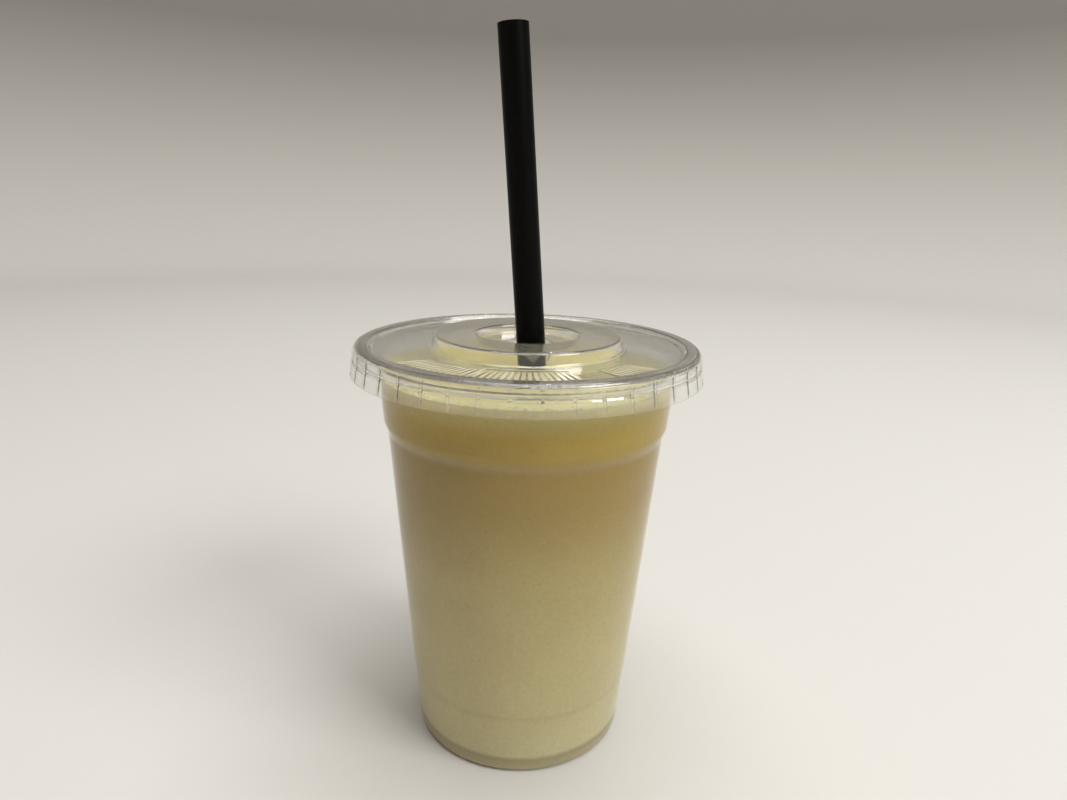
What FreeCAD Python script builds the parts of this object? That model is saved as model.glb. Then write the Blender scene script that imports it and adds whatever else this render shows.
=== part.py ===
"""Virgin banana daiquiri in a clear plastic take-away cup with a flat lid and a black straw.

Millimetres, +Z up. The origin is the centre of the cup's foot on the table, the front is -Y,
and the straw leans towards -X as it rises. Each piece is one solid in its own STEP file.
"""

import FreeCAD, Part
import math
import os

from FreeCAD import Vector

# ---- cup: one formed sheet, all radii on its outside face ----
CUP_HEIGHT = 123.1            # top of the rolled brim
BRIM_RADIUS = 49.2            # outermost edge of the rolled brim
CUP_WALL = 0.6
FOOT_RADIUS = 32.7            # where the side wall would meet the table
FOOT_ROUND = 2.0              # round under the side wall
HEEL_WIDTH = 4.0              # foot ring, from the side wall to the riser
HEEL_ROUND = 1.0              # round on the riser's side of the foot
RISER_LEAN = 0.6              # how far the riser leans in over its height
FLOOR_LIFT = 4.9              # underside of the floor above the table
FLOOR_ROUND = 0.8
FILL_RING_HEIGHT = 20.3       # faint step low on the wall
FILL_RING_RISE = 0.7
FILL_RING_STEP = 0.18
SHOULDER_DROP = 24.8          # stacking shoulder below the brim's top
SHOULDER_RISE = 3.3
SHOULDER_STEP = 1.16
SHOULDER_ROUND = 1.6
NECK_WIDENING = 1.35          # taper of the neck above the shoulder
MOUTH_DROP = 4.7              # start of the flare below the brim's top
MOUTH_ROUND = 1.2
MOUTH_FLARE = 3.2
MOUTH_RISE = 1.9
BRIM_WIDTH = 2.0              # inside the roll
BRIM_DEPTH = 2.5
BRIM_ROUND = 0.8
BRIM_CURL = 0.9               # how far the roll turns back in

# ---- drink ----
DRINK_LEVEL_DROP = 8.3        # surface of the drink below the brim's top

# ---- lid: one formed sheet, sizes on its top face ----
LID_WALL = 0.5
LID_SEAT_GAP = 0.1            # between the brim's top and the bead over it
LID_SIDE_GAP = 0.15           # between the brim's edge and the bead's side
SKIRT_LENGTH = 8.1
SKIRT_SPREAD = 1.0            # slope of the skirt from the crest to the lip
SKIRT_LIP = 1.5               # height of the flared lower edge
SKIRT_FLARE = 0.35
SNAP_DROP = 3.9               # snap groove below the bead's crest
SNAP_HALF_HEIGHT = 0.5
SNAP_DEPTH = 0.3
GRIP_COUNT = 42               # grip ribs round the skirt
GRIP_WIDTH = 0.85
GRIP_PROUD = 0.3
GRIP_SINK = 0.4               # how far a grip rib reaches into the skirt
GRIP_TOP_DROP = 0.9           # where a grip rib runs out into the bead's round
BEAD_ROUND = 1.3
BEAD_INNER_ROUND = 0.8
BEAD_INSET = 3.1              # from the brim's edge to the bead's inner edge
BEAD_SLOPE = 1.2
DECK_DROP = 1.1               # ring between bead and plateau, below the crest
DECK_ROUND = 0.8
PLATEAU_RADIUS = 27.8
PLATEAU_RISE = 3.5            # above the ring
PLATEAU_SLOPE = 0.8
PLATEAU_ROUND = 1.0
WELL_RADIUS = 15.0
WELL_DEPTH = 2.6
WELL_SLOPE = 0.7
WELL_ROUND = 0.7
RIB_FIELDS = ((-49, -18), (-18, 18), (31, 49))   # degrees from the front towards +X
RIB_PITCH = 2.3               # degrees between the ring's radial ribs
RIB_START = 33.4              # radius where they rise from the ring
RIB_WIDTH = 0.95
RIB_SINK = 0.3                # how far a rib or border reaches into the ring
RIB_TOP_DROP = 0.3            # outer end of a rib below the bead's crest
BORDER_FIELD = RIB_FIELDS[1]  # the middle field has a raised border
BORDER_WIDTH = 0.6
BORDER_RISE = 0.3
SLIT_TURN = 17                # degrees, of the straw's cross slit about the lid's centre
SLIT_GAP = 0.15               # between a flap's edge and the slit's line
FLAP_BEND = 1.2               # radius over which a flap turns down along the straw
FLAP_LAND = 0.2               # least flat stretch between a flap's hinge and its bend
FLAP_TIP = 0.3                # half width of a flap's blunt tip

# ---- straw ----
STRAW_RADIUS = 4.2
STRAW_WALL = 0.5
STRAW_LENGTH = 203.0
STRAW_LEAN = 4.65             # degrees from upright, top towards -X
STRAW_AT_LID = 0.9            # where its axis passes the well floor, along X
STRAW_TIP_GAP = 0.3           # lowest point of the tip above the cup's floor
STRAW_HOLE_GAP = 0.25         # between the straw and the lid round it

Z_AXIS = Vector(0, 0, 1)


# ---- outlines in the half plane of radius and height ----
def unit(a, b):
    """Direction from one outline point to the next."""
    length = math.hypot(b[0] - a[0], b[1] - a[1])
    return (b[0] - a[0]) / length, (b[1] - a[1]) / length


def offset_outline(points, gap):
    """The outline moved to its left by gap, with its rounds kept concentric."""
    ways = [unit(a, b) for a, b in zip(points, points[1:])]
    start, end = points[0], points[-1]
    moved = [(start[0] - gap * ways[0][1], start[1] + gap * ways[0][0], 0)]
    for (r, z, fillet), (ur, uz), (vr, vz) in zip(points[1:-1], ways, ways[1:]):
        turn = ur * vz - uz * vr
        half = gap * math.tan(math.atan2(turn, ur * vr + uz * vz) / 2)
        side = 1 if turn > 0 else -1
        moved.append((r - gap * uz - half * ur, z + gap * ur - half * uz, max(fillet - side * gap, 0)))
    moved.append((end[0] - gap * ways[-1][1], end[1] + gap * ways[-1][0], 0))
    return moved


def outline_edges(points):
    """Lines and tangent arcs along an outline of (radius, height, fillet) points."""
    edges = []
    at = Vector(points[0][0], 0, points[0][1])
    for before, (r, z, fillet), after in zip(points, points[1:], points[2:]):
        corner = Vector(r, 0, z)
        (ur, uz), (vr, vz) = unit(before, (r, z)), unit((r, z), after)
        turn = math.atan2(ur * vz - uz * vr, ur * vr + uz * vz)
        if fillet <= 0 or abs(turn) < 1e-6:
            edges.append(Part.LineSegment(at, corner).toShape())
            at = corner
            continue
        reach = fillet * math.tan(abs(turn) / 2)
        start = corner - Vector(ur, 0, uz) * reach
        end = corner + Vector(vr, 0, vz) * reach
        side = 1 if turn > 0 else -1
        centre = start + Vector(-uz, 0, ur) * (side * fillet)
        middle = centre + (corner - centre).normalize() * fillet
        if (start - at).Length > 1e-6:
            edges.append(Part.LineSegment(at, start).toShape())
        edges.append(Part.Arc(start, middle, end).toShape())
        at = end
    edges.append(Part.LineSegment(at, Vector(points[-1][0], 0, points[-1][1])).toShape())
    return edges


def line_between(a, b):
    return Part.LineSegment(Vector(a[0], 0, a[1]), Vector(b[0], 0, b[1])).toShape()


def turned(edges):
    """Solid of revolution about Z of a closed loop of edges."""
    wire = Part.Wire(Part.__sortEdges__(edges))
    return Part.Face(wire).revolve(Vector(0, 0, 0), Z_AXIS, 360)


def turned_sheet(points, thickness):
    """A sheet of even thickness, to the left of the outline, turned about Z."""
    inner = offset_outline(points, thickness)
    ends = [line_between(points[0], inner[0]), line_between(points[-1], inner[-1])]
    return turned(outline_edges(points) + outline_edges(inner) + ends)


# ---- cup ----
def cup_wall_outline():
    """Outside face of the cup, from the middle of the floor to the top of the mouth."""
    body_top_z = CUP_HEIGHT - SHOULDER_DROP
    neck_top_r = BRIM_RADIUS - CUP_WALL - BRIM_WIDTH - MOUTH_FLARE
    shoulder_r = neck_top_r - NECK_WIDENING
    body_top_r = shoulder_r - SHOULDER_STEP
    slope = (body_top_r - FOOT_RADIUS) / body_top_z
    ring_r = FOOT_RADIUS + slope * FILL_RING_HEIGHT - FILL_RING_STEP
    ring_top_z = FILL_RING_HEIGHT + FILL_RING_RISE
    heel_r = FOOT_RADIUS - HEEL_WIDTH
    return [
        (0, FLOOR_LIFT, 0),
        (heel_r - RISER_LEAN, FLOOR_LIFT, FLOOR_ROUND),
        (heel_r, 0, HEEL_ROUND),
        (FOOT_RADIUS - FILL_RING_STEP, 0, FOOT_ROUND),
        (ring_r, FILL_RING_HEIGHT, 0),
        (FOOT_RADIUS + slope * ring_top_z, ring_top_z, 0),
        (body_top_r, body_top_z, SHOULDER_ROUND),
        (shoulder_r, body_top_z + SHOULDER_RISE, SHOULDER_ROUND),
        (neck_top_r, CUP_HEIGHT - MOUTH_DROP, MOUTH_ROUND),
        (neck_top_r + MOUTH_FLARE, CUP_HEIGHT - MOUTH_DROP + MOUTH_RISE, BRIM_ROUND),
        (neck_top_r + MOUTH_FLARE, CUP_HEIGHT - CUP_WALL, 0),
    ]


def cup_outline():
    """The wall and then the brim, rolled out and down, with its edge turned back in."""
    wall = cup_wall_outline()
    mouth_r, top_z, _ = wall.pop()
    edge_r = mouth_r + BRIM_WIDTH
    return wall + [
        (mouth_r, top_z, BRIM_ROUND),
        (edge_r, top_z, BRIM_ROUND),
        (edge_r, top_z - BRIM_DEPTH, BRIM_ROUND / 2),
        (edge_r - BRIM_CURL, top_z - BRIM_DEPTH, 0),
    ]


def make_cup():
    return turned_sheet(cup_outline(), CUP_WALL)


# ---- straw ----
def straw_direction():
    lean = math.radians(STRAW_LEAN)
    return Vector(-math.sin(lean), 0, math.cos(lean))


def straw_tip():
    """Centre of the straw's lower end, with its lowest point just over the cup's floor."""
    way = straw_direction()
    floor_z = FLOOR_LIFT + CUP_WALL
    tip_z = floor_z + STRAW_TIP_GAP + STRAW_RADIUS * math.sin(math.radians(STRAW_LEAN))
    at_lid = Vector(STRAW_AT_LID, 0, well_floor_z())
    return at_lid - way * ((at_lid.z - tip_z) / way.z)


def straw_rod(radius, start=0.0, length=STRAW_LENGTH):
    """A rod along the straw's axis, start being measured from its lower end."""
    way = straw_direction()
    return Part.makeCylinder(radius, length, straw_tip() + way * start, way)


def make_straw():
    bore = straw_rod(STRAW_RADIUS - STRAW_WALL, -1.0, STRAW_LENGTH + 2.0)
    return straw_rod(STRAW_RADIUS).cut(bore)


# ---- drink ----
def make_drink():
    """Everything inside the cup up to the level, round the straw and in its bore."""
    cavity = offset_outline(cup_wall_outline(), CUP_WALL)
    top, bottom = cavity[-1], cavity[0]
    lid_line = [line_between(top, (0, top[1])), line_between((0, top[1]), bottom)]
    inside = turned(outline_edges(cavity) + lid_line)
    level = CUP_HEIGHT - DRINK_LEVEL_DROP
    filled = inside.common(Part.makeCylinder(2 * BRIM_RADIUS, level))
    return filled.cut(make_straw())


# ---- lid ----
def crest_z():
    return CUP_HEIGHT + LID_SEAT_GAP + LID_WALL


def deck_z():
    return crest_z() - DECK_DROP


def well_floor_z():
    return deck_z() + PLATEAU_RISE - WELL_DEPTH


def skirt_radius(drop):
    """Radius of the skirt's face at a height below the bead's crest, above its lip."""
    top = BRIM_RADIUS + LID_SIDE_GAP + LID_WALL
    return top + SKIRT_SPREAD * drop / (SKIRT_LENGTH - SKIRT_LIP)


def lid_outline():
    """Top face of the lid, from the middle of the well out and down the skirt."""
    crest, deck, well = crest_z(), deck_z(), well_floor_z()
    plateau = deck + PLATEAU_RISE
    bead_r = BRIM_RADIUS - BEAD_INSET
    snap_top = SNAP_DROP - SNAP_HALF_HEIGHT
    snap_bottom = SNAP_DROP + SNAP_HALF_HEIGHT
    lip = SKIRT_LENGTH - SKIRT_LIP
    return [
        (0, well, 0),
        (WELL_RADIUS - WELL_SLOPE, well, WELL_ROUND),
        (WELL_RADIUS, plateau, WELL_ROUND),
        (PLATEAU_RADIUS - PLATEAU_SLOPE / 2, plateau, PLATEAU_ROUND),
        (PLATEAU_RADIUS + PLATEAU_SLOPE / 2, deck, DECK_ROUND),
        (bead_r - BEAD_SLOPE, deck, DECK_ROUND),
        (bead_r, crest, BEAD_INNER_ROUND),
        (skirt_radius(0), crest, BEAD_ROUND),
        (skirt_radius(snap_top), crest - snap_top, 0),
        (skirt_radius(SNAP_DROP) - SNAP_DEPTH, crest - SNAP_DROP, 0),
        (skirt_radius(snap_bottom), crest - snap_bottom, 0),
        (skirt_radius(lip), crest - lip, 0),
        (skirt_radius(lip) + SKIRT_FLARE, crest - SKIRT_LENGTH, 0),
    ]


def upright_bar(profile, width):
    """A bar of even width along a closed (radius, height) profile, centred on the X axis."""
    corners = [Vector(r, -width / 2, z) for r, z in profile]
    return Part.Face(Part.makePolygon(corners + corners[:1])).extrude(Vector(0, width, 0))


def from_front(shape, degrees):
    """The shape turned from the X axis to an angle measured from the front towards +X."""
    return shape.rotated(Vector(0, 0, 0), Z_AXIS, degrees - 90)


def deck_rib():
    """Radial rib that climbs from the ring to the bead's inner slope."""
    crest, deck = crest_z(), deck_z()
    bead_r = BRIM_RADIUS - BEAD_INSET
    top = crest - RIB_TOP_DROP
    end_r = bead_r - BEAD_SLOPE * RIB_TOP_DROP / DECK_DROP + LID_WALL / 4
    return upright_bar([
        (RIB_START, deck - RIB_SINK),
        (bead_r - BEAD_SLOPE, deck - RIB_SINK),
        (end_r, top - LID_WALL),
        (end_r, top),
        (RIB_START, deck),
    ], RIB_WIDTH)


def field_border():
    """Raised line along the inner side and the two ends of the middle field of ribs."""
    first, last = BORDER_FIELD
    low, high = deck_z() - RIB_SINK, deck_z() + BORDER_RISE
    inner = RIB_START - BORDER_WIDTH
    outer = BRIM_RADIUS - BEAD_INSET - BEAD_SLOPE
    section = [Vector(r, 0, z) for r, z in ((inner, low), (RIB_START, low), (RIB_START, high), (inner, high))]
    face = Part.Face(Part.makePolygon(section + section[:1]))
    arc = from_front(face.revolve(Vector(0, 0, 0), Z_AXIS, last - first), first)
    end = upright_bar([(inner, low), (outer, low), (outer, high), (inner, high)], BORDER_WIDTH)
    return [arc, from_front(end, first), from_front(end, last)]


def deck_ribs():
    ribs = []
    for first, last in RIB_FIELDS:
        count = round((last - first) / RIB_PITCH)
        step = (last - first) / count
        ribs += [from_front(deck_rib(), first + step * (i + 0.5)) for i in range(count)]
    return ribs


def grip_ribs():
    """Narrow upright ribs round the skirt, from the bead's round to the lower edge."""
    crest = crest_z()
    lip = SKIRT_LENGTH - SKIRT_LIP
    shoulder = BEAD_ROUND + GRIP_PROUD
    bottom_r = skirt_radius(lip) + SKIRT_FLARE
    rib = upright_bar([
        (skirt_radius(GRIP_TOP_DROP) - GRIP_SINK, crest - GRIP_TOP_DROP),
        (skirt_radius(shoulder) + GRIP_PROUD, crest - shoulder),
        (skirt_radius(lip) + GRIP_PROUD, crest - lip),
        (bottom_r, crest - SKIRT_LENGTH),
        (bottom_r - GRIP_SINK, crest - SKIRT_LENGTH),
        (skirt_radius(lip) - GRIP_SINK, crest - lip),
        (skirt_radius(BEAD_ROUND) - GRIP_SINK, crest - BEAD_ROUND),
    ], GRIP_WIDTH)
    return [from_front(rib, 360 / GRIP_COUNT * (i + 0.5)) for i in range(GRIP_COUNT)]


# ---- the straw's slit in the lid ----
def straw_slope():
    return math.tan(math.radians(STRAW_LEAN))


def straw_half_width():
    """Half the straw's level cross-section the long way, with its gap."""
    return STRAW_RADIUS / math.cos(math.radians(STRAW_LEAN)) + STRAW_HOLE_GAP


def hinge_distance():
    """From the lid's centre to the fold line of each flap, so that the straw passes them all."""
    return (straw_half_width() + STRAW_AT_LID + FLAP_BEND + FLAP_LAND) / (1 - straw_slope())


def straw_side(degrees):
    """How far the straw, with its gap, comes out in one direction beside a hanging flap."""
    towards_x = math.cos(math.radians(degrees))
    drift = max(towards_x, 0) * straw_slope() * hinge_distance()
    return straw_half_width() + towards_x * STRAW_AT_LID + drift


def make_flap(degrees):
    """Triangle between two arms of the slit, bent down along the straw at its own distance."""
    hinge, side, floor = hinge_distance(), straw_side(degrees), well_floor_z()
    hanging = side + FLAP_BEND * (1 - math.pi / 2) - SLIT_GAP
    low = floor - FLAP_BEND - hanging + FLAP_TIP
    outline = [(hinge, floor, 0), (side, floor, FLAP_BEND), (side, low, 0)]
    inner = offset_outline(outline, LID_WALL)
    ends = [line_between(outline[0], inner[0]), line_between(outline[-1], inner[-1])]
    wire = Part.Wire(Part.__sortEdges__(outline_edges(outline) + outline_edges(inner) + ends))
    strip = Part.Face(wire).extrude(Vector(0, 2 * hinge, 0))
    strip.translate(Vector(0, -hinge, 0))
    bend_r = side + FLAP_BEND
    plan = [(hinge, hinge - SLIT_GAP), (bend_r, bend_r - SLIT_GAP), (side, hanging), (0, hanging)]
    front = [(floor, hinge), (floor - FLAP_BEND, hanging), (low, FLAP_TIP)]
    plan_loop = [Vector(x, y, low) for x, y in plan] + [Vector(x, -y, low) for x, y in reversed(plan)]
    front_loop = [Vector(0, y, z) for z, y in front] + [Vector(0, -y, z) for z, y in reversed(front)]
    across = Part.Face(Part.makePolygon(plan_loop + plan_loop[:1])).extrude(Vector(0, 0, floor - low))
    facing = Part.Face(Part.makePolygon(front_loop + front_loop[:1])).extrude(Vector(hinge, 0, 0))
    return strip.common(across).common(facing).rotated(Vector(0, 0, 0), Z_AXIS, degrees)


def slit_opening():
    """Square hole in the well's floor between the four fold lines."""
    hinge = hinge_distance()
    hole = Part.makeBox(2 * hinge, 2 * hinge, 2 * LID_WALL, Vector(-hinge, -hinge, -LID_WALL))
    hole.translate(Vector(0, 0, well_floor_z()))
    return hole.rotated(Vector(0, 0, 0), Z_AXIS, SLIT_TURN)


def make_lid():
    shell = turned_sheet(lid_outline(), -LID_WALL).cut(slit_opening())
    flaps = [make_flap(SLIT_TURN + 90 * i) for i in range(4)]
    return shell.multiFuse(flaps + deck_ribs() + field_border() + grip_ribs())


def save(name, shape):
    """Write one closed solid to its own file."""
    solids = shape.Solids
    if len(solids) != 1 or not solids[0].isValid():
        raise RuntimeError(f"{name} is not one sound solid: {len(solids)} solids")
    solids[0].exportStep(os.path.join("parts", f"{name}.step"))
    box = solids[0].BoundBox
    print(f"{name}: volume {solids[0].Volume:.0f} mm3, z {box.ZMin:.2f} to {box.ZMax:.2f}")


def main():
    os.makedirs("parts", exist_ok=True)
    save("cup", make_cup())
    save("drink", make_drink())
    save("lid", make_lid())
    save("straw", make_straw())


main()
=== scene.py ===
"""Looks for the virgin banana daiquiri: clear cup and lid, blended drink and black straw.

Metres, +Z up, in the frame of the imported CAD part. The front of the cup is -Y.
"""

import math
import random

import bmesh
import bpy
from mathutils import Matrix, Vector, noise as relief
from mathutils.bvhtree import BVHTree


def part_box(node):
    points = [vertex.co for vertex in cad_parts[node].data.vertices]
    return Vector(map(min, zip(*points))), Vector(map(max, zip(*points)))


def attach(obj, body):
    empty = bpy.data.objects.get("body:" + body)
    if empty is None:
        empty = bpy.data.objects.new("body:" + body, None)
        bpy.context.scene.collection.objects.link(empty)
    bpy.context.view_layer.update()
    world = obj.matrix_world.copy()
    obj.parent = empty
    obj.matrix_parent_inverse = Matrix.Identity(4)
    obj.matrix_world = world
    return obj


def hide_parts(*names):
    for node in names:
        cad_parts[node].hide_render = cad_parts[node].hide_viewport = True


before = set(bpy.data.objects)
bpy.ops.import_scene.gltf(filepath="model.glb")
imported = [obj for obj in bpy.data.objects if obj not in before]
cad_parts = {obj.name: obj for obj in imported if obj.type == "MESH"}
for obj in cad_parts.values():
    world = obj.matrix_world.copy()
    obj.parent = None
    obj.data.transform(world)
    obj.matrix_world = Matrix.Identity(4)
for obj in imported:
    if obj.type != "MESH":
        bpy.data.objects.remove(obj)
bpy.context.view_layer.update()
MM = 0.001

# ---- places taken from the frame ----
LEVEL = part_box("drink")[1].z
LID_LOW, LID_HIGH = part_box("lid")

# ---- lid ----
PLATEAU_RISE = 3.5 * MM
DECK_TOP = LID_HIGH.z - PLATEAU_RISE   # upper face of the ribbed ring
RIB_RADII = (32.6 * MM, 44.4 * MM)     # the ribs and their border lie between these
RIB_LIFT = 0.08 * MM                   # from here up they stand clear of the deck
RIB_TOP = 0.95 * MM                    # and they end below here
RIB_CROWN = 0.6                        # a rib's face is its crown where its normal is this upright

# ---- drink ----
DRINK_SINK = 0.18 * MM         # how far it reaches into the cup's wall
TURN_STEPS = 288               # steps round the cup
WALL_STEP = 0.7 * MM           # between rings on the side
HEEL_STEPS = 40                # rings round the folded heel
HEEL_EYE = (30.6 * MM, 6.5 * MM)   # radius and height from which the heel's fold is in full view
FLOOR_RINGS = 14
FLOOR_SHARE = 0.85             # of the eye's radius, over which the floor's rings are spread
TOP_RINGS = 90
TOP_CROWDING = 1.3             # above 1, the surface's rings lie closer towards the wall
FROTH_RELIEF = 0.22 * MM
FROTH_WAVE = 9 * MM
RIPPLE_SHARE = 0.5             # height of the ripples, as a share of the swells'
RIPPLE_COUNT = 3               # ripples to a swell
RIPPLE_SLICE = 5               # where the ripples' noise is cut, apart from that of the swells
MENISCUS_RISE = 0.5 * MM
MENISCUS_REACH = 1.4 * MM

# ---- froth bubbles ----
BUBBLE_COUNT = 700
BUBBLE_RADII = (0.2 * MM, 0.75 * MM)
BUBBLE_SMALLNESS = 3           # the higher, the more of them are small
BUBBLE_FRINGE = 4 * MM         # most of the bubbles lie this near the wall
BUBBLE_FRINGE_SHARE = 0.6
BUBBLE_CROWDING = 2            # the higher, the closer the fringe keeps to the wall
BUBBLE_SINK = 0.35             # share of its radius that a bubble sits below the surface
BUBBLE_SEED = 7

# ---- stage ----
STAGE_RADIUS = 1.7
STAGE_MIDDLE = 0.5             # radius of the floor's middle face
STAGE_ROUND = 0.5
STAGE_HEIGHT = 2.0
STAGE_BEND_STEPS = 16
STAGE_TURN_STEPS = 96
BACKDROP_TOP = 1.0             # height over which the backdrop's painted shade is spread

# ---- camera ----
CAMERA_BACK = 216.55 * MM      # in front of the cup's axis
CAMERA_UP = 167.65 * MM
CAMERA_PITCH = math.radians(15.942)
CAMERA_YAW = math.radians(0.573)
CAMERA_ROLL = math.radians(1.644)
CAMERA_LENS = 25.354           # focal length, in millimetres
CAMERA_SENSOR = 36.0           # width, in millimetres
CAMERA_NEAR = 10 * MM

# ---- colours, linear ----
WHITE = (1.0, 1.0, 1.0)
FROTH_COLOUR = (1.0, 0.92, 0.44)
FROTH_DARK = (0.86, 0.7912, 0.3784)   # darker patches of a bubble's skin
# The drink's own banana colour with painted light and shade in it: painted shade darkens it and makes it
# more golden towards the lid, with darker lines at the heel fold (0.038) and the fill ring (0.173);
# painted floor light makes it paler lower down, the pale band at the shoulder step (0.862) is a painted
# reflection, and the lighter top few millimetres are painted light from above.
DRINK_BANDS_WITH_PAINTED_LIGHT = (                # share of the filled height, colour
    (0.000, (0.80, 0.71, 0.46)),
    (0.018, (0.74, 0.66, 0.40)),
    (0.038, (0.61, 0.54, 0.30)),
    (0.052, (0.90, 0.84, 0.52)),
    (0.155, (0.85, 0.77, 0.43)),
    (0.173, (0.79, 0.71, 0.38)),
    (0.180, (0.84, 0.76, 0.42)),
    (0.330, (0.80, 0.71, 0.37)),
    (0.540, (0.72, 0.61, 0.28)),
    (0.740, (0.58, 0.43, 0.12)),
    (0.845, (0.55, 0.39, 0.08)),
    (0.862, (0.61, 0.47, 0.19)),
    (0.882, (0.62, 0.45, 0.07)),
    (0.935, (0.69, 0.51, 0.06)),
    (0.978, (0.80, 0.68, 0.24)),
    (0.998, FROTH_COLOUR),
)
STRAW_COLOUR = (0.0015, 0.0015, 0.0015)
SKIRT_TINT = (0.99, 0.985, 0.95)   # the skirt is drawn thinner, so it is clearer
DECK_TINT = (0.92, 0.90, 0.85)
# pale yellow for the rib crowns: painted light from the drink below, as if refracted through the ribs
RIB_PAINTED_GLOW = (1.0, 0.92, 0.60)
LID_BANDS = (                  # share of the lid's height, colour
    (0.55, SKIRT_TINT),
    (0.70, DECK_TINT),
)
# painted shade: the sweep's colour darkens up the backdrop, as light falling off would
BACKDROP_PAINTED_SHADE = (             # share of BACKDROP_TOP, colour
    (0.02, (0.68, 0.66, 0.62)),
    (0.22, (0.52, 0.50, 0.46)),
    (0.50, (0.27, 0.255, 0.23)),
)

# ---- surfaces ----
PLASTIC_IOR = 1.46
LID_BEND = 1.28                # a thin film hardly bends what shows through it
LID_HAZE = 0.05
RIB_HAZE = 0.75                # added to it on the ribs' crowns
NOISE_ROUGHNESS = 0.55         # weight of each finer octave

# patterns of two colours: features per metre, octaves, and the noise at which each colour is full
GRAIN = {"scale": 900.0, "detail": 5.0, "span": (0.35, 0.65), "dark": (0.93, 0.93, 0.93), "light": WHITE}
CLOUD = {"scale": 60.0, "detail": 3.0, "span": (0.3, 0.7), "dark": (0.95, 0.9405, 0.912), "light": WHITE}
BUBBLE_FILM = {"scale": 300.0, "detail": 2.0, "span": (0.3, 0.7), "dark": FROTH_DARK, "light": FROTH_COLOUR}

# pulp specks: cells per metre with one speck in each, and its radius as a share of the cell
PULP = {"scale": 360.0, "radius": 0.12, "dark": (0.86, 0.82, 0.74), "light": WHITE}

# bumps: features per metre, octaves, strength and depth
FILM_WAVES = {"scale": 120.0, "detail": 2.0, "strength": 0.15, "depth": 0.3 * MM}
DRINK_GRIT = {"scale": 500.0, "detail": 4.0, "strength": 0.25, "depth": 0.2 * MM}
BUBBLE_DIMPLES = {"scale": 900.0, "detail": 2.0, "strength": 0.1, "depth": 0.05 * MM}
STRAW_LINES = {"scale": 900.0, "detail": 2.0, "strength": 0.1, "depth": 0.05 * MM, "stretch": (1, 1, 0.02)}

# ---- light ----
WORLD_COLOUR = (1.0, 0.97, 0.93)
WORLD_STRENGTH = 0.15
LAMPS = (                      # name, place, aim and size in metres, power in watts, colour
    ("overhead", (0.2, 0.1, 2.2), (0, 0, 0.1), (1.8, 1.8), 37.0, WHITE),
    ("left", (-0.9, -0.6, 0.35), (0, 0, 0.06), (0.8, 0.6), 0.5, (1.0, 0.68, 0.46)),
    ("right", (1.0, -0.7, 1.1), (0, 0, 0.03), (0.8, 0.6), 14.5, WHITE),
)
# small lamps behind the cup, which glint in the lid
SPOT_PLACES = ((-0.45, 0.75, 1.5), (0.1, 0.95, 1.3), (0.6, 0.5, 1.6))
SPOT_AIM = (0, 0, 0.12)
SPOT_SIZE = (0.04, 0.04)
SPOT_POWER = 0.35


# ---- shader nodes ----
def new_material(name):
    """An empty node material and its Principled shader, wired to the output."""
    material = bpy.data.materials.new(name)
    material.use_nodes = True
    tree = material.node_tree
    tree.nodes.clear()
    output = tree.nodes.new("ShaderNodeOutputMaterial")
    shader = tree.nodes.new("ShaderNodeBsdfPrincipled")
    tree.links.new(shader.outputs["BSDF"], output.inputs["Surface"])
    return material, tree, shader


def rgba(colour):
    """A colour with full opacity."""
    return (*colour, 1.0)


def feed(tree, socket, value):
    """Links a socket to another one, or sets it to a plain value."""
    if isinstance(value, bpy.types.NodeSocket):
        tree.links.new(value, socket)
    else:
        socket.default_value = value


def object_point(tree):
    """The shaded point in the object's own coordinates, in metres."""
    return tree.nodes.new("ShaderNodeTexCoord").outputs["Object"]


def axes(tree, vector):
    """The X, Y and Z of a vector."""
    split = tree.nodes.new("ShaderNodeSeparateXYZ")
    tree.links.new(vector, split.inputs["Vector"])
    return [split.outputs[axis] for axis in "XYZ"]


def math_node(tree, operation, first, second=0.0):
    """One sum, worked out at each point; both values may be sockets or numbers."""
    node = tree.nodes.new("ShaderNodeMath")
    node.operation = operation
    feed(tree, node.inputs[0], first)
    feed(tree, node.inputs[1], second)
    return node.outputs["Value"]


def between(tree, value, low, high):
    """1 where a value lies between two limits and 0 elsewhere."""
    above = math_node(tree, "GREATER_THAN", value, low)
    below = math_node(tree, "LESS_THAN", value, high)
    return math_node(tree, "MULTIPLY", above, below)


def height_share(tree, low, high):
    """0 at the low height and 1 at the high one."""
    span = tree.nodes.new("ShaderNodeMapRange")
    span.inputs["From Min"].default_value = low
    span.inputs["From Max"].default_value = high
    tree.links.new(axes(tree, object_point(tree))[2], span.inputs["Value"])
    return span.outputs["Result"]


def mix_colours(tree, first, second, share=1.0, blend="MIX"):
    """Two colours blended; the share and the colours may be sockets or values."""
    node = tree.nodes.new("ShaderNodeMix")
    node.data_type = "RGBA"
    node.blend_type = blend
    first_socket, second_socket = [i for i in node.inputs if i.type == "RGBA"]
    feed(tree, node.inputs["Factor"], share)
    feed(tree, first_socket, first)
    feed(tree, second_socket, second)
    return next(o for o in node.outputs if o.type == "RGBA")


def ramp(tree, factor, stops):
    """A colour ramp through (position, colour) stops."""
    node = tree.nodes.new("ShaderNodeValToRGB")
    elements = node.color_ramp.elements
    first, *middle, last = [(position, rgba(colour)) for position, colour in stops]
    elements[0].position, elements[0].color = first
    elements[1].position, elements[1].color = last
    for position, colour in middle:
        elements.new(position).color = colour
    tree.links.new(factor, node.inputs["Fac"])
    return node.outputs["Color"]


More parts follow.
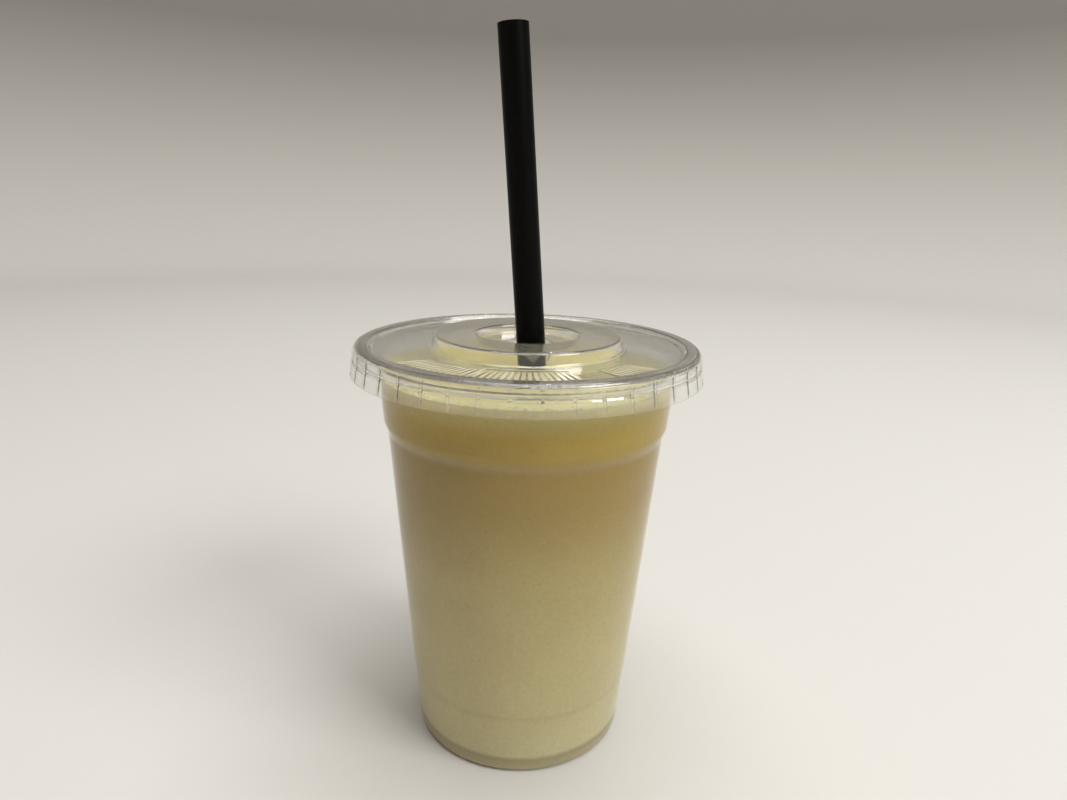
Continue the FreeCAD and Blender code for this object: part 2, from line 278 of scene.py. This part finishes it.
def noise(tree, scale, detail, stretch=(1, 1, 1)):
    """Noise in the object's own coordinates, scale in features per metre."""
    mapping = tree.nodes.new("ShaderNodeMapping")
    mapping.inputs["Scale"].default_value = stretch
    texture = tree.nodes.new("ShaderNodeTexNoise")
    texture.inputs["Scale"].default_value = scale
    texture.inputs["Detail"].default_value = detail
    texture.inputs["Roughness"].default_value = NOISE_ROUGHNESS
    tree.links.new(object_point(tree), mapping.inputs["Vector"])
    tree.links.new(mapping.outputs["Vector"], texture.inputs["Vector"])
    return texture.outputs["Fac"]


def mottle(tree, scale, detail, span, dark, light):
    """A noisy pattern that runs from a dark colour to a light one over a span of the noise."""
    return ramp(tree, noise(tree, scale, detail), zip(span, (dark, light)))


def specks(tree, scale, radius, dark, light):
    """Small round specks with soft edges, one in each cell."""
    cells = tree.nodes.new("ShaderNodeTexVoronoi")
    cells.inputs["Scale"].default_value = scale
    tree.links.new(object_point(tree), cells.inputs["Vector"])
    return ramp(tree, cells.outputs["Distance"], [(radius / 2, dark), (radius, light)])


def bump(tree, shader, scale, detail, strength, depth, stretch=(1, 1, 1)):
    """Small bumps and hollows from noise, for the shader's normal."""
    node = tree.nodes.new("ShaderNodeBump")
    node.inputs["Strength"].default_value = strength
    node.inputs["Distance"].default_value = depth
    tree.links.new(noise(tree, scale, detail, stretch), node.inputs["Height"])
    tree.links.new(node.outputs["Normal"], shader.inputs["Normal"])


# ---- materials ----
def cup_plastic():
    """Clear formed film: sharp gloss, with the slight waviness of thin plastic."""
    material, tree, shader = new_material("cup_film")
    shader.inputs["Base Color"].default_value = rgba(WHITE)
    shader.inputs["Transmission Weight"].default_value = 1.0
    shader.inputs["IOR"].default_value = PLASTIC_IOR
    shader.inputs["Roughness"].default_value = 0.04
    bump(tree, shader, **FILM_WAVES)
    return material


def rib_mask(tree):
    """1 on the crowns of the lid's deck ribs and their border, which take a painted glow; 0 on the rest of
    the film.
    """
    x, y, z = axes(tree, object_point(tree))
    across = math_node(tree, "MULTIPLY", x, x)
    along = math_node(tree, "MULTIPLY", y, y)
    radius = math_node(tree, "SQRT", math_node(tree, "ADD", across, along))
    in_ring = between(tree, radius, *RIB_RADII)
    raised = between(tree, z, DECK_TOP + RIB_LIFT, DECK_TOP + RIB_TOP)
    normal = tree.nodes.new("ShaderNodeNewGeometry").outputs["True Normal"]
    crown = math_node(tree, "GREATER_THAN", axes(tree, normal)[2], RIB_CROWN)
    return math_node(tree, "MULTIPLY", crown, math_node(tree, "MULTIPLY", in_ring, raised))


def lid_plastic():
    """Thin clear film with a faint haze and a sharp coat, milkier and painted pale yellow along the deck
    ribs.
    """
    material, tree, shader = new_material("lid_film")
    ribs = rib_mask(tree)
    film = ramp(tree, height_share(tree, LID_LOW.z, LID_HIGH.z), LID_BANDS)
    # the rib crowns are painted pale yellow, standing in for the drink's light seen through them
    colour = mix_colours(tree, film, rgba(RIB_PAINTED_GLOW), ribs)
    tree.links.new(colour, shader.inputs["Base Color"])
    milk = math_node(tree, "MULTIPLY", ribs, RIB_HAZE)
    clearness = math_node(tree, "SUBTRACT", 1.0 - LID_HAZE, milk)
    tree.links.new(clearness, shader.inputs["Transmission Weight"])
    shader.inputs["IOR"].default_value = LID_BEND
    shader.inputs["Roughness"].default_value = 0.09
    shader.inputs["Coat Weight"].default_value = 1.0
    shader.inputs["Coat IOR"].default_value = PLASTIC_IOR
    shader.inputs["Coat Roughness"].default_value = 0.05
    bump(tree, shader, **FILM_WAVES)
    return material


def straw_material():
    """Satin black plastic with faint lengthwise drawing lines."""
    material, tree, shader = new_material("black_straw")
    shader.inputs["Base Color"].default_value = rgba(STRAW_COLOUR)
    shader.inputs["Roughness"].default_value = 0.38
    shader.inputs["Specular IOR Level"].default_value = 0.07
    bump(tree, shader, **STRAW_LINES)
    return material


def drink_material():
    """Thick blended banana drink with fine grain and pulp specks; painted light pales it towards the foot.
    """
    material, tree, shader = new_material("blended_drink")
    colour = ramp(tree, height_share(tree, 0.0, LEVEL), DRINK_BANDS_WITH_PAINTED_LIGHT)
    for pattern in (mottle(tree, **GRAIN), mottle(tree, **CLOUD), specks(tree, **PULP)):
        colour = mix_colours(tree, colour, pattern, blend="MULTIPLY")
    tree.links.new(colour, shader.inputs["Base Color"])
    shader.inputs["Roughness"].default_value = 0.5
    shader.inputs["Subsurface Weight"].default_value = 0.25
    shader.inputs["Subsurface Radius"].default_value = (4 * MM, 3 * MM, 1.5 * MM)
    shader.inputs["Subsurface Scale"].default_value = 1.0
    bump(tree, shader, **DRINK_GRIT)
    return material


def bubble_material():
    """Glossy skin of froth bubbles, slightly uneven in colour."""
    material, tree, shader = new_material("froth_bubble")
    tree.links.new(mottle(tree, **BUBBLE_FILM), shader.inputs["Base Color"])
    shader.inputs["Roughness"].default_value = 0.25
    shader.inputs["IOR"].default_value = 1.33
    bump(tree, shader, **BUBBLE_DIMPLES)
    return material


def floor_material():
    """Matt pale floor with painted shade that darkens it softly up the backdrop."""
    material, tree, shader = new_material("pale_floor")
    shade = ramp(tree, height_share(tree, 0.0, BACKDROP_TOP), BACKDROP_PAINTED_SHADE)
    tree.links.new(shade, shader.inputs["Base Color"])
    shader.inputs["Roughness"].default_value = 0.9
    shader.inputs["Specular IOR Level"].default_value = 0.2
    return material


# ---- pieces ----
def dress(node, material):
    """A carried-over CAD node takes a better material."""
    node.data.materials.clear()
    node.data.materials.append(material)


def smooth_piece(name, vertices, faces, material):
    """A smooth mesh with one material, placed in the scene."""
    mesh = bpy.data.meshes.new(name)
    mesh.from_pydata(vertices, [], faces)
    mesh.shade_smooth()
    mesh.materials.append(material)
    piece = bpy.data.objects.new(name, mesh)
    bpy.context.scene.collection.objects.link(piece)
    return piece


def turn(radius, steps):
    """Points (x, y) of one turn round the axis."""
    angles = [2 * math.pi * i / steps for i in range(steps)]
    return [(radius * math.cos(a), radius * math.sin(a)) for a in angles]


def wrap(ring_count, steps):
    """Faces between neighbouring rings, whose points are numbered ring after ring."""
    faces = []
    for first in range(0, (ring_count - 1) * steps, steps):
        for i in range(steps):
            j = (i + 1) % steps
            faces.append((first + i, first + j, first + steps + j, first + steps + i))
    return faces


def cup_inside():
    """(radius, height) points that reach just into the cup's wall, from mid floor up to the level."""
    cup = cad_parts["cup"].data
    film = BVHTree.FromPolygons([v.co for v in cup.vertices], [p.vertices for p in cup.polygons])

    def seen(radius, height, angle):
        """Where the cup's inner face shows from a place, at an angle up from the radius."""
        way = Vector((math.cos(angle), 0, math.sin(angle)))
        _, _, _, distance = film.ray_cast(Vector((radius, 0, height)), way)
        reach = distance + DRINK_SINK
        return radius + way.x * reach, height + way.z * reach

    eye_r, eye_z = HEEL_EYE
    points = [seen(eye_r * FLOOR_SHARE * i / FLOOR_RINGS, eye_z, -math.pi / 2) for i in range(FLOOR_RINGS)]
    first = math.atan2(points[-1][1] - eye_z, points[-1][0] - eye_r)
    for i in range(1, HEEL_STEPS + 1):
        points.append(seen(eye_r, eye_z, first - first * i / HEEL_STEPS))
    wall_rings = round((LEVEL - eye_z) / WALL_STEP)
    for i in range(1, wall_rings + 1):
        points.append(seen(0, eye_z + (LEVEL - eye_z) * i / wall_rings, 0))
    return points


def froth_height(x, y, radius, rim):
    """Height of the drink's surface: the level, low swells with ripples, and a lip drawn up the wall."""
    swell = relief.noise(Vector((x, y, 0)) / FROTH_WAVE)
    ripple = relief.noise(Vector((y, x, RIPPLE_SLICE)) / FROTH_WAVE * RIPPLE_COUNT)
    lip = math.exp((radius - rim) / MENISCUS_REACH)
    rise = FROTH_RELIEF * (swell + RIPPLE_SHARE * ripple) * (1 - lip) + MENISCUS_RISE * lip
    return LEVEL + rise


def make_drink():
    """The drink turned from the cup's own inside, with an uneven frothy surface; gives its radius there."""
    floor, *side = cup_inside()
    rim = side[-1][0]
    points = [(x, y, height) for radius, height in side for x, y in turn(radius, TURN_STEPS)]
    for i in range(1, TOP_RINGS):
        radius = rim * (1 - (i / TOP_RINGS) ** TOP_CROWDING)
        points += [(x, y, froth_height(x, y, radius, rim)) for x, y in turn(radius, TURN_STEPS)]
    faces = wrap(len(points) // TURN_STEPS, TURN_STEPS)
    floor_middle = len(points)
    top_middle = floor_middle + 1
    last_ring = floor_middle - TURN_STEPS
    points += [(0, 0, floor[1]), (0, 0, froth_height(0, 0, 0, rim))]
    for i in range(TURN_STEPS):
        j = (i + 1) % TURN_STEPS
        faces.append((floor_middle, j, i))
        faces.append((top_middle, last_ring + i, last_ring + j))
    drink = smooth_piece("banana_drink", points, faces, drink_material())
    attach(drink, "root")
    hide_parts("drink")
    return rim


def make_bubbles(rim):
    """Small froth bubbles on the drink, most of them gathered along the wall."""
    draw = random.Random(BUBBLE_SEED)
    small, large = BUBBLE_RADII
    ball = bmesh.new()
    bmesh.ops.create_icosphere(ball, subdivisions=2, radius=1.0)
    ball.verts.index_update()
    ball_points = [v.co.copy() for v in ball.verts]
    triangles = [[v.index for v in f.verts] for f in ball.faces]
    ball.free()
    points, faces = [], []
    for _ in range(BUBBLE_COUNT):
        size = small + (large - small) * draw.random() ** BUBBLE_SMALLNESS
        reach = rim - size
        if draw.random() < BUBBLE_FRINGE_SHARE:
            radius = reach - BUBBLE_FRINGE * draw.random() ** BUBBLE_CROWDING
        else:
            radius = reach * math.sqrt(draw.random())
        angle = 2 * math.pi * draw.random()
        x, y = radius * math.cos(angle), radius * math.sin(angle)
        middle = Vector((x, y, froth_height(x, y, radius, rim) - BUBBLE_SINK * size))
        first = len(points)
        points += [middle + size * point for point in ball_points]
        faces += [[first + i for i in triangle] for triangle in triangles]
    bubbles = smooth_piece("froth_bubbles", points, faces, bubble_material())
    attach(bubbles, "root")


# ---- stage, light and camera ----
def make_stage():
    """Pale floor that curves up all round into the backdrop, facing in."""
    flat = STAGE_RADIUS - STAGE_ROUND
    bend = [math.pi / 2 * i / STAGE_BEND_STEPS for i in range(STAGE_BEND_STEPS + 1)]
    profile = [(STAGE_MIDDLE, 0.0)]
    profile += [(flat + STAGE_ROUND * math.sin(a), STAGE_ROUND * (1 - math.cos(a))) for a in bend]
    profile += [(STAGE_RADIUS, STAGE_HEIGHT)]
    points = [(x, y, height) for radius, height in profile for x, y in turn(radius, STAGE_TURN_STEPS)]
    middle = tuple(range(STAGE_TURN_STEPS))
    faces = [middle] + [face[::-1] for face in wrap(len(profile), STAGE_TURN_STEPS)]
    smooth_piece("studio_sweep", points, faces, floor_material())


def make_lamp(name, place, aim, size, power, colour):
    """A rectangular lamp turned towards its aim, which the camera doesn't see."""
    data = bpy.data.lights.new(name, "AREA")
    data.shape = "RECTANGLE"
    data.size, data.size_y = size
    data.energy = power
    data.color = colour
    lamp = bpy.data.objects.new(name, data)
    bpy.context.scene.collection.objects.link(lamp)
    lamp.location = place
    lamp.visible_camera = False
    lamp.rotation_mode = "QUATERNION"
    lamp.rotation_quaternion = (Vector(aim) - Vector(place)).to_track_quat("-Z", "Y")


def make_lights():
    """A dim warm world and the lamps."""
    world = bpy.data.worlds.new("studio")
    bpy.context.scene.world = world
    world.use_nodes = True
    background = world.node_tree.nodes["Background"]
    background.inputs["Color"].default_value = rgba(WORLD_COLOUR)
    background.inputs["Strength"].default_value = WORLD_STRENGTH
    for lamp in LAMPS:
        make_lamp(*lamp)
    for i, place in enumerate(SPOT_PLACES):
        make_lamp(f"spot_{i}", place, SPOT_AIM, SPOT_SIZE, SPOT_POWER, WHITE)


def make_camera():
    """The camera in front of the cup, above the lid and tilted down."""
    data = bpy.data.cameras.new("camera")
    data.sensor_width = CAMERA_SENSOR
    data.lens = CAMERA_LENS
    data.clip_start = CAMERA_NEAR
    camera = bpy.data.objects.new("camera", data)
    bpy.context.scene.collection.objects.link(camera)
    place = Matrix.Translation((0, -CAMERA_BACK, CAMERA_UP))
    yaw = Matrix.Rotation(-CAMERA_YAW, 4, "Z")
    pitch = Matrix.Rotation(math.pi / 2 - CAMERA_PITCH, 4, "X")
    roll = Matrix.Rotation(CAMERA_ROLL, 4, "Z")
    camera.matrix_world = place @ yaw @ pitch @ roll
    bpy.context.scene.camera = camera


make_stage()
make_lights()
make_camera()
bpy.context.scene.view_settings.view_transform = "Standard"

dress(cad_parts["cup"], cup_plastic())
dress(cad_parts["lid"], lid_plastic())
dress(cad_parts["straw"], straw_material())
surface_radius = make_drink()
make_bubbles(surface_radius)
